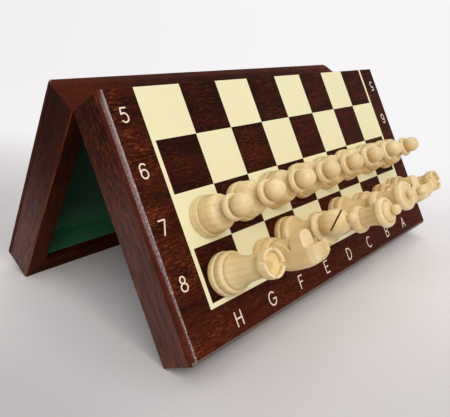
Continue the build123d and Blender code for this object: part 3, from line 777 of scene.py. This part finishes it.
def pen_stroke(path, width, rise):
    """A flat stroke with round ends. Across the path the section is a low half ellipse,
    half width w and height rise, on a flat back; at the ends w follows a semicircle."""
    middle = evenly(path, 0.3)
    heading = np.gradient(middle, axis=0)
    heading /= np.linalg.norm(heading, axis=1)[:, None]
    cap = np.radians(np.linspace(0, 84, 6))
    out = width / 2 * np.sin(cap)[:, None]
    centre = np.concatenate([middle[0] - heading[0] * out[::-1], middle, middle[-1] + heading[-1] * out])
    side = np.pad(heading, ((len(cap), len(cap)), (0, 0)), mode="edge") @ np.array([[0, 1], [-1, 0]])
    spread = width / 2 * np.concatenate([np.cos(cap)[::-1], np.ones(len(middle)), np.cos(cap)])
    turn = np.radians(np.linspace(0, 180, 9))
    flat = centre[:, None, :] + side[:, None, :] * (spread[:, None] * np.cos(turn))[..., None]
    height = np.broadcast_to(rise * np.sin(turn), flat.shape[:2])
    rows = np.concatenate([flat, height[..., None]], axis=-1)
    ends = [grid(np.stack([row, row.mean(axis=0) + 0 * row])) for row in rows[[0, -1]]]
    return joined([grid(rows, close_columns=True)] + ends)


def sign(text, height, width, rise):
    """All strokes of one sign, its middle at the origin, reading along +X."""
    paths = [(traced(stroke) - [0, 0.5]) * height for stroke in SIGNS[text]]
    return joined([pen_stroke(path, width, rise) for path in paths])


# ---- small fittings
def slotted_head(radius, thickness, dome, depth=0.45, taper=0.0):
    """A screw head on chords of a circle: each row is the chord at x, its ends at plus and
    minus root(R^2 - x^2). The chords within the slot's half width lie lower."""
    slot, lip = 0.28, 0.30
    side = np.sin(np.radians(np.linspace(0, 90, 9)))[1:] * (radius - lip) + lip
    x = np.concatenate([-side[::-1], [-lip, -slot, slot, lip], side])
    across = np.sin(np.radians(np.linspace(-90, 90, 19)))
    y = np.sqrt(np.maximum(radius**2 - x**2, 0))[:, None] * across
    x = np.broadcast_to(x[:, None], y.shape)
    top = thickness + dome * (1 - (x**2 + y**2) / radius**2)
    top = np.where(np.abs(x) <= slot + 1e-6, thickness - depth, top)
    upper = np.stack([x, y, top], axis=-1)
    lower = upper * (1 - taper, 1 - taper, 0)
    rims = [np.concatenate([face[:, 0], face[::-1, -1]]) for face in (upper, lower)]
    return joined([grid(upper), grid(lower), grid(np.stack(rims), close_columns=True)])


def shank(radius, start, end):
    """A plain closed rod along Z."""
    return turned(np.array([[0, start], [radius, start], [radius, end], [0, end]]), 24)


# ---- felt
def felt_tray(low, high, fillet, thickness=1.0):
    """The lining of one tray. A rounded rectangle is carried along a section of inset d
    and depth z: up the wood, over the top edge, down the wall, round the fillet and in
    over the floor to a line along the middle; a slow wave lifts the floor a little."""
    fan = np.radians(np.linspace(0, 90, 7))
    top, back = low[2], high[2]
    floor = back - thickness
    wall = thickness + 0.05
    middle, half = (high + low)[:2] / 2, (high - low)[:2] / 2
    deepest = half[1]
    outer, inner = 0.5, 0.45  # rounds of the top edge
    section = [(deepest, back), (0.0, back), (0.0, top + outer)]
    section += [(outer * (1 - cos(a)), top + outer * (1 - sin(a))) for a in fan]
    section += [(wall - inner * (1 - sin(a)), top + inner * (1 - cos(a))) for a in fan]
    section += [(wall, z) for z in np.linspace(top + 2, floor - fillet, 5)]
    bend = floor - fillet
    section += [(wall + fillet * (1 - cos(a)), bend + fillet * sin(a)) for a in fan]
    section += [(d, floor) for d in np.linspace(wall + fillet + 2, deepest, 16)]
    inset, depth = np.array(section)[:, :1], np.array(section)[:, 1:]
    corner = np.minimum(np.clip(1.6 + inset * 0.25, 0, 4.0), np.maximum(deepest - inset, 0))
    corner = np.where(inset < 0.9, 0.4 * (inset > 0), corner)
    arcs = []
    for turn, signs in enumerate([(1, 1), (-1, 1), (-1, -1), (1, -1)]):
        angle = pi / 2 * turn + fan
        centre = [sign * (size - inset - corner) for sign, size in zip(signs, half)]
        round_off = corner[..., None] * np.stack([np.cos(angle), np.sin(angle)], axis=-1)
        arcs.append(np.stack(centre, axis=-1) + round_off)
    share = np.linspace(0, 1, 12, endpoint=False)[1:, None]
    ring = []
    for arc_points, following in zip(arcs, arcs[1:] + arcs[:1]):
        end = arc_points[:, -1:]
        ring += [arc_points, end + share * (following[:, :1] - end)]
    ring = np.concatenate(ring, axis=1)
    z = np.broadcast_to(depth, ring.shape[:2]).copy()
    x, y = ring[..., 0], ring[..., 1]
    wave = np.sin(x / 13 + 1) * np.sin(y / 9) + np.sin(x / 5.1 + y / 7.3)
    z -= np.where((depth >= floor - 0.01) & (depth < back - 0.01), 0.06 * (wave + 2), 0)
    return grid(np.concatenate([ring + middle, z[..., None]], axis=-1), close_columns=True)


# ---- operators
class CHESSBOX_OT_carcass(bpy.types.Operator):
    """Rails and panels of both halves, with softened edges"""

    bl_idname = "chessbox.carcass"
    bl_label = "Rails and panels"

    def execute(self, context):
        sizes, colours = context.scene.chess_box_sizes, context.scene.chess_box_colours
        edge_tones = {"front": (colours.stain_mid, colours.edge_tone, colours.stain_fleck)}
        # weight and stretch of the painted reflection on each half's end rails
        painted_reflections = {"front": (0.65, 20.0, 75.0), "back": (0.9, 30.0, 125.0)}
        for half in SIDES:
            lengthwise = stained_wood(half + "_rail_wood", half, 0, -0.1, sheen=0.015)
            endwise = stained_wood(half + "_end_wood", half, 1, painted_reflection=painted_reflections[half])
            edge = stained_wood(half + "_panel_wood", half, 1, 0.1, edge_tones.get(half))
            rails = {"hinge": lengthwise, "free": lengthwise, "left": endwise, "right": endwise}
            for rail, wood in rails.items():
                node = f"{half}_{rail}_rail"
                softened(node, node + "_stock", wood, half + "_half", "dark_wood", sizes.arris)
            dress(half + "_panel_core", edge)
        return {"FINISHED"}


class CHESSBOX_OT_veneers(bpy.types.Operator):
    """Dark border and squares, light squares and line"""

    bl_idname = "chessbox.veneers"
    bl_label = "Veneers"

    def execute(self, context):
        for half in SIDES:
            dress(half + "_dark_veneer", stained_wood(half + "_dark_inlay", half, 0, dashed=0.8))
            dress(half + "_light_veneer", cream_veneer(half + "_light_inlay", half))
        return {"FINISHED"}


INK_RISE = 0.03  # thickness of the paint of the coordinates


class CHESSBOX_OT_coordinates(bpy.types.Operator):
    """Files along the free edge and ranks down both ends of each half"""

    bl_idname = "chessbox.coordinates"
    bl_label = "Coordinates"

    def execute(self, context):
        sizes = context.scene.chess_box_sizes
        square, line, margin = sizes.square / MM, sizes.line / MM, sizes.margin / MM
        pen = sizes.letter_height / MM, sizes.stroke / MM, INK_RISE
        ink = paint("coordinate_paint")
        off_side = 4 * square + line + margin / 2
        rows = {"front": ("ABCDEFGH", "5678"), "back": ("HGFEDCBA", "4321")}
        for half, (letters, numbers) in rows.items():
            face = local_box(half + "_dark_veneer", half)[1][2]
            parts = []
            for index, letter in enumerate(letters):
                place = ((index - 3.5) * square + 0.8, off_side + 0.5, face)
                parts.append(moved(spun(sign(letter, *pen), pi), place))
            for row, number in enumerate(numbers):
                for end in (-1, 1):
                    glyph = spun(sign(number, *pen), pi if end > 0 else 0)
                    place = (end * (off_side + 0.6), (row + 0.5) * square - end * 0.6, face)
                    parts.append(moved(glyph, place))
            item = build(half + "_coordinates", joined(parts), half, ink)
            seat(item, half + "_half", "light_veneer")
        return {"FINISHED"}


class CHESSBOX_OT_lining(bpy.types.Operator):
    """Felt in both trays"""

    bl_idname = "chessbox.lining"
    bl_label = "Felt lining"

    def execute(self, context):
        fillet = context.scene.chess_box_sizes.felt_fillet / MM
        for half in SIDES:
            wool = felt(half + "_green_felt", half)
            low, high = local_box(half + "_felt_lining", half)
            item = build(half + "_felt", felt_tray(low, high, fillet), half, wool)
            seat(item, half + "_half", "felt", half + "_felt_lining")
        return {"FINISHED"}


SCREW_HEAD, SCREW_SHANK, SCREW_PITCH = 2.2, 1.1, 22.0  # of the hinge leaves' screws
CAP_RADIUS, POST_RADIUS, COLLAR_RADIUS, BARREL_RADIUS = 2.6, 1.2, 2.5, 1.4
HOOK_PLACE = 85.0  # the hooks' screws and pegs, from the middle, both ways


def leaf_screws(half, brass):
    """Slotted countersunk screws of both leaves, heads flush with the rim."""
    low, high = local_box(half + "_hinge_screws", half)
    first, last = low[0] + SCREW_HEAD, high[0] - SCREW_HEAD
    parts = []
    for index, x in enumerate((first, first + SCREW_PITCH, last - SCREW_PITCH, last)):
        head = spun(slotted_head(SCREW_HEAD, 1.0, 0.0, taper=0.5), radians(20 + 47 * index))
        head = moved((head[0] * (1, 1, -1), head[1]), (0, 0, 1.0))
        rod = shank(SCREW_SHANK, 1.0, high[2] - low[2])
        parts += [moved(part, (x, (low[1] + high[1]) / 2, low[2])) for part in (head, rod)]
    item = build(half + "_hinge_screw_set", joined(parts), half, brass)
    seat(item, half + "_half", "brass", half + "_hinge_screws")


def caps(half, node, brass):
    """Domed slotted screws that carry or catch the hooks."""
    low, high = local_box(node, half)
    start, face, rise = low[1], high[1], (low[2] + high[2]) / 2
    parts = [
        (slotted_head(CAP_RADIUS, 0.7, 0.5, depth=0.3), face - 1.2),
        (shank(POST_RADIUS, 0, face - 1.1 - start), start),
    ]
    if half == "front":
        under = local_box("hook_left", "front")[0][1] - 0.6
        parts += [(shank(COLLAR_RADIUS, 0, 0.5), under), (shank(BARREL_RADIUS, 0, 2.0), under)]
    ends = (-HOOK_PLACE, HOOK_PLACE)
    parts = [moved(laid(part), (x, reach, rise)) for x in ends for part, reach in parts]
    item = build(node + "_set", joined(parts), half, brass)
    seat(item, half + "_half", "brass", node)


class CHESSBOX_OT_fittings(bpy.types.Operator):
    """Hinges, screws, hooks, pegs, magnets and steel sheets"""

    bl_idname = "chessbox.fittings"
    bl_label = "Fittings"

    def execute(self, context):
        colours = context.scene.chess_box_colours
        brass = worked_metal("brass", colours.brass, 0.22, 0.6)
        steel = worked_metal("plated_steel", colours.steel, 0.25, 0.8)
        for half in SIDES:
            node = half + "_hinge_leaves"
            softened(node, node + "_plate", brass, half + "_half", "brass", 0.12 * MM, 2)
            dress(half + "_steel_sheet", steel)
            leaf_screws(half, brass)
        for side in ("left", "right"):
            node = "hook_" + side
            softened(node, node + "_plate", brass, side + "_hook", "brass", 0.2 * MM)
        caps("front", "hook_screws", brass)
        caps("back", "hook_pegs", brass)
        dress("hinge_pins", brass)
        for man in MEN:
            dress(man + "_magnet", steel)
        return {"FINISHED"}


FELTED = 0.35  # height of the felt band under each man
CROWN = 28.5  # above it lie the rook's well and the bishop's cut
WELL_RADIUS = 5.9  # within it a rook's crown shows golden end grain


def sawn(context, item, man):
    """Cuts the slit in a bishop's head."""
    blade = build("blade", moved(slit_blade(), man_foot(man)), "front", [])
    cut = item.modifiers.new("slit", "BOOLEAN")
    cut.operation, cut.object, cut.solver = "DIFFERENCE", blade, "EXACT"
    mesh = finished(context, item)
    bpy.data.objects.remove(item)
    bpy.data.objects.remove(blade)
    return shown(man + "_turning", mesh, [], 40)


class CHESSBOX_OT_men(bpy.types.Operator):
    """Pawns, rooks, bishops, queen and king, turned in pale wood"""

    bl_idname = "chessbox.men"
    bl_label = "Turned men"

    def execute(self, context):
        colours = context.scene.chess_box_colours
        wood = turned_maple("pale_turned_wood")
        # felt under each foot, darkened to a painted contact shadow
        felt_and_contact_shadow = speckled("foot_felt_and_shadow", colours.felt, (0.175, 0.35), 2400, 0.95, 0.05)
        # painted shade: the faces inside the bishop's slit are painted dark
        slit_shade = speckled("painted_slit_shade", colours.groove, (0.55, 0.85), 900, 0.8, 0.0)
        for seed, man in enumerate(MEN):
            kind = man.split("_")[0]
            if kind == "knight":
                continue
            profile = PROFILES.get(kind) or pawn(FULL_HEADS.get(man, PAWN_HEAD))
            line = outline(profile, soft=0.12 if kind == "rook" else 0.22)
            shape = rook_shape(line) if kind == "rook" else turned(line)
            item = build(man + "_turning", moved(shape, man_foot(man)), "front", [], hollow=hollows(line))
            if kind == "bishop":
                item = sawn(context, item, man)
            mesh = item.data
            centres = give_grain(mesh, man, seed)
            special = np.zeros(len(centres), dtype=bool)
            if kind == "rook":
                special = np.hypot(centres[:, 0], centres[:, 1]) < WELL_RADIUS
            if kind == "bishop":
                special = np.abs((centres - SLIT_MIDDLE) @ SLIT_FLAT) < SLIT_HALF + 0.01
                special &= (centres - SLIT_MIDDLE) @ np.cross(SLIT_ALONG, SLIT_FLAT) > -0.05
            special &= centres[:, 2] > CROWN
            well = golden_end_grain(man + "_well", man_foot(man)) if kind == "rook" else slit_shade
            for material in (wood, felt_and_contact_shadow, well):
                mesh.materials.append(material)
            kinds = (centres[:, 2] < FELTED) + 2 * special.astype(np.int32)
            mesh.polygons.foreach_set("material_index", kinds)
            seat(item, man, "light_wood", man)
        return {"FINISHED"}


def carve(context, man, materials, seed):
    """A finely remeshed copy of the CAD knight, smoothed, with its own grain. Where heavy
    smoothing would fill a hollow, the distance says how hollow the point is."""
    mesh = frame["nodes"][man].data.copy()
    mesh.materials.clear()
    with editing(mesh):
        pass
    rough = linked(man + "_blank", mesh)
    remesh = rough.modifiers.new("chips", "REMESH")
    remesh.mode = "VOXEL"
    remesh.voxel_size = context.scene.chess_box_sizes.knight_grain
    smooth = rough.modifiers.new("sanding", "SMOOTH")
    smooth.factor = 0.5
    sanded = []
    for turns in (90, 4):
        smooth.iterations = turns
        sanded.append(finished(context, rough))
    soft, ready = sanded
    bpy.data.objects.remove(rough)
    centres = give_grain(ready, man, seed)
    facing = vectors(ready.vertices, "normal") @ half_axes("front").T
    inward = local_points(soft, "front") - local_points(ready, "front")
    hollow = np.clip(np.sum(inward * facing, axis=1) / 0.4, -1, 1)
    # the hollow attribute here also carries the painted shadow of the throat and the painted highlights of
    # the head
    keep(ready, "hollow", "FLOAT", worn(ready, man, facing, hollow))
    item = shown(man + "_carving", ready, materials, 70)
    ready.polygons.foreach_set("material_index", (centres[:, 2] < FELTED).astype(np.int32))
    seat(item, man, "light_wood", man)


# returns the hollowness with a painted shadow and painted highlights added
def worn(mesh, man, facing, hollow):
    """How hollow each point is, with a painted shadow and painted highlights added: the painted shadow,
    cast by the muzzle on the chest, fades with the distance from the throat and lies on faces that don't
    look sideways; the painted highlights are on the cheeks above the muzzle, fading up the head, and on
    the top of the muzzle."""
    place = local_points(mesh, "front") - man_foot(man)
    sideways, upward = np.abs(facing[:, 0]), facing[:, 2]
    near = np.hypot(*(place[:, 1:] - KNIGHT_THROAT).T)
    throat_shadow = np.clip(1.3 - near / 4.0, 0, 1) * np.clip(1.5 - 2 * sideways, 0, 1)
    rise = place[:, 2] - KNIGHT_CHEEK
    # painted highlights on the cheeks that look sideways and on the top of the muzzle that looks up
    cheek = np.clip(rise, 0, 1) * np.clip(1.25 - rise / 9, 0, 1) * np.clip(3 * sideways - 0.6, 0, 1)
    muzzle = np.clip(3 * upward - 1.5, 0, 1) * np.clip(2 - np.abs(rise + 0.5), 0, 1)
    return np.maximum(hollow, 1.3 * throat_shadow) - np.maximum(cheek, 1.2 * muzzle)


class CHESSBOX_OT_knights(bpy.types.Operator):
    """Sawn and carved knights, their facets worn soft"""

    bl_idname = "chessbox.knights"
    bl_label = "Knights"

    def execute(self, context):
        materials = turned_maple("pale_carved_wood"), bpy.data.materials["foot_felt_and_shadow"]
        for seed, man in enumerate(MEN):
            if man.startswith("knight"):
                carve(context, man, materials, seed)
        return {"FINISHED"}


def hung(name, data, place, facing):
    """A lamp or the camera in its place; the columns of facing are its own axes."""
    holder = linked(name, data)
    holder.matrix_world = Matrix.Translation(place) @ facing.to_4x4()
    return holder


# Each lamp: its name, place, size, power and colour.
LAMPS = [
    ("window", (-0.9, -1.3, 1.5), (1.3, 1.3), 14.5, (1.0, 0.97, 0.93)),
    ("key", (-0.35, -1.25, 1.35), (0.3, 0.3), 2.8, (1.0, 0.97, 0.93)),
    ("overhead", (0.5, 0.3, 1.7), (1.4, 1.4), 5.0, (0.95, 0.97, 1.0)),
    ("side_strip", (-1.33, -0.8, 0.52), (0.16, 1.0), 2.0, (1.0, 0.96, 0.95)),
]
LAMP_TARGET = Vector((0.0, 0.0, 0.06))
CAMERA_PLACE = Vector((-284.39, -231.71, 45.01))  # from the middle of the hinge
CAMERA_TURN, CAMERA_DIP, CAMERA_ROLL = 49.067, 19.852, 2.474
CAMERA_LENS = 1.141  # focal length as a share of the picture's width


def lay_sweep():
    """A floor that turns up into a wall: straight, a quarter circle, straight."""
    near, reach, bend, wall, half_width = -2.2, 1.1, 0.7, 1.2, 2.6
    angle = np.radians(np.linspace(0, 90, 25))
    y = np.concatenate([[near], reach + bend * np.sin(angle), [reach + bend]])
    z = np.concatenate([[0.0], bend * (1 - np.cos(angle)), [bend + wall]])
    x = np.linspace(-half_width, half_width, 3)
    corners = np.stack(np.broadcast_arrays(x[None, :], y[:, None], z[:, None]), axis=-1)
    points, quads = spun(grid(corners), radians(-40))
    mesh = bpy.data.meshes.new("sweep")
    mesh.from_pydata(points.tolist(), [], quads[:, ::-1].tolist())
    shown("sweep", mesh, floor_finish(), 60)


def floor_finish():
    """Matt paint with painted shade: darker toward the viewer, in a corner to the left and in a wing
    beside the box. Beyond the box the camera sees an even pale glow."""
    s = Shader("pale_floor")
    colour = s.colours.floor
    turn = (0, 0, radians(49))
    facing = s.node("ShaderNodeMapping", None, {"Vector": s.here(), "Rotation": turn})
    side, away = s.along_axis(facing, 0), s.along_axis(facing, 1)
    # painted shade: a darker corner and a wing beside the box, and darker toward the viewer
    corner = (side * -0.6 - away).step(195.0, 250.0) * 0.3
    wing = away.step(-70.0, 0.0) * (side * -1).step(120.0, 200.0) * 0.5
    shadow = corner + wing + s.noise(s.here(), 60) * 0.05
    tone = s.mix(away.step(-210.0, -20.0), colour * 0.72, colour)
    tone = s.mix(shadow, tone, colour * 0.5)
    matt = s.node("ShaderNodeBsdfDiffuse", None, {"Color": tone})
    pale = s.mix(side.step(-900.0, 300.0), (0.88, 0.86, 0.875), (0.93, 0.91, 0.915))
    glow = s.node("ShaderNodeEmission", None, {"Color": pale, "Strength": 1.0})
    seen = s.node("ShaderNodeLightPath", output=0)
    beyond = (away + side.least(0) * 0.35).step(-20.0, 330.0)
    both = s.node("ShaderNodeMixShader", None, (beyond * seen, matt, glow))
    s.node("ShaderNodeOutputMaterial", None, (both,))
    return s.material


def set_world(context):
    """An even pale sky."""
    world = bpy.data.worlds.new("sky")
    world.use_nodes = True
    sky = world.node_tree.nodes["Background"]
    sky.inputs["Color"].default_value = (0.93, 0.95, 1.0, 1.0)
    sky.inputs["Strength"].default_value = 0.66
    context.scene.world = world


def set_lamps():
    """Large soft lamps aimed at the middle of the box, and a small one low at the side."""
    upright = Vector((0.0, 0.45, 0.77))
    for name, place, size, power, colour in LAMPS:
        lamp = bpy.data.lights.new(name, "AREA")
        lamp.shape, lamp.energy, lamp.color = "RECTANGLE", power, colour
        lamp.size, lamp.size_y = size
        back = (Vector(place) - LAMP_TARGET).normalized()
        side = upright.cross(back).normalized()
        hung(name, lamp, place, Matrix((side, back.cross(side), back)).transposed())


def set_camera(context):
    """The camera: turned from +Y toward +X, dipped below the level and rolled."""
    data = bpy.data.cameras.new("camera")
    data.sensor_fit, data.sensor_width, data.lens = "HORIZONTAL", 36.0, 36.0 * CAMERA_LENS
    data.clip_start = 0.01
    facing = Matrix.Identity(3)
    for angle, axis in ((-CAMERA_TURN, "Z"), (90 - CAMERA_DIP, "X"), (CAMERA_ROLL, "Z")):
        facing = facing @ Matrix.Rotation(radians(angle), 3, axis)
    context.scene.camera = hung("camera", data, Vector(HINGE) + CAMERA_PLACE * MM, facing)


class CHESSBOX_OT_stage(bpy.types.Operator):
    """Floor sweep, lamps, world and camera"""

    bl_idname = "chessbox.stage"
    bl_label = "Stage"

    def execute(self, context):
        lay_sweep()
        set_world(context)
        set_lamps()
        set_camera(context)
        context.scene.view_settings.view_transform = "Standard"
        return {"FINISHED"}


class CHESSBOX_PT_panel(bpy.types.Panel):
    """Lists the steps in the sidebar"""

    bl_label = "Chess Box"
    bl_idname = "CHESSBOX_PT_panel"
    bl_space_type = "VIEW_3D"
    bl_region_type = "UI"
    bl_category = "Chess Box"

    def draw(self, context):
        for group in ("chess_box_sizes", "chess_box_colours"):
            settings = getattr(context.scene, group)
            for name in settings.bl_rna.properties.keys():
                if name not in ("rna_type", "name"):
                    self.layout.prop(settings, name)
        for step in STEPS:
            self.layout.operator(step.bl_idname)


STEPS = (
    CHESSBOX_OT_carcass,
    CHESSBOX_OT_veneers,
    CHESSBOX_OT_coordinates,
    CHESSBOX_OT_lining,
    CHESSBOX_OT_fittings,
    CHESSBOX_OT_men,
    CHESSBOX_OT_knights,
    CHESSBOX_OT_stage,
)
CLASSES = (ChessBoxSizes, ChessBoxColours, *STEPS, CHESSBOX_PT_panel)


def register():
    """Adds the classes and the settings to Blender."""
    for item in CLASSES:
        bpy.utils.register_class(item)
    bpy.types.Scene.chess_box_sizes = bpy.props.PointerProperty(type=ChessBoxSizes)
    bpy.types.Scene.chess_box_colours = bpy.props.PointerProperty(type=ChessBoxColours)


def unregister():
    """Takes them out again."""
    del bpy.types.Scene.chess_box_colours
    del bpy.types.Scene.chess_box_sizes
    for item in reversed(CLASSES):
        bpy.utils.unregister_class(item)


def main():
    register()
    for step in STEPS:
        group, name = step.bl_idname.split(".")
        getattr(getattr(bpy.ops, group), name)()


if __name__ == "__main__":
    main()
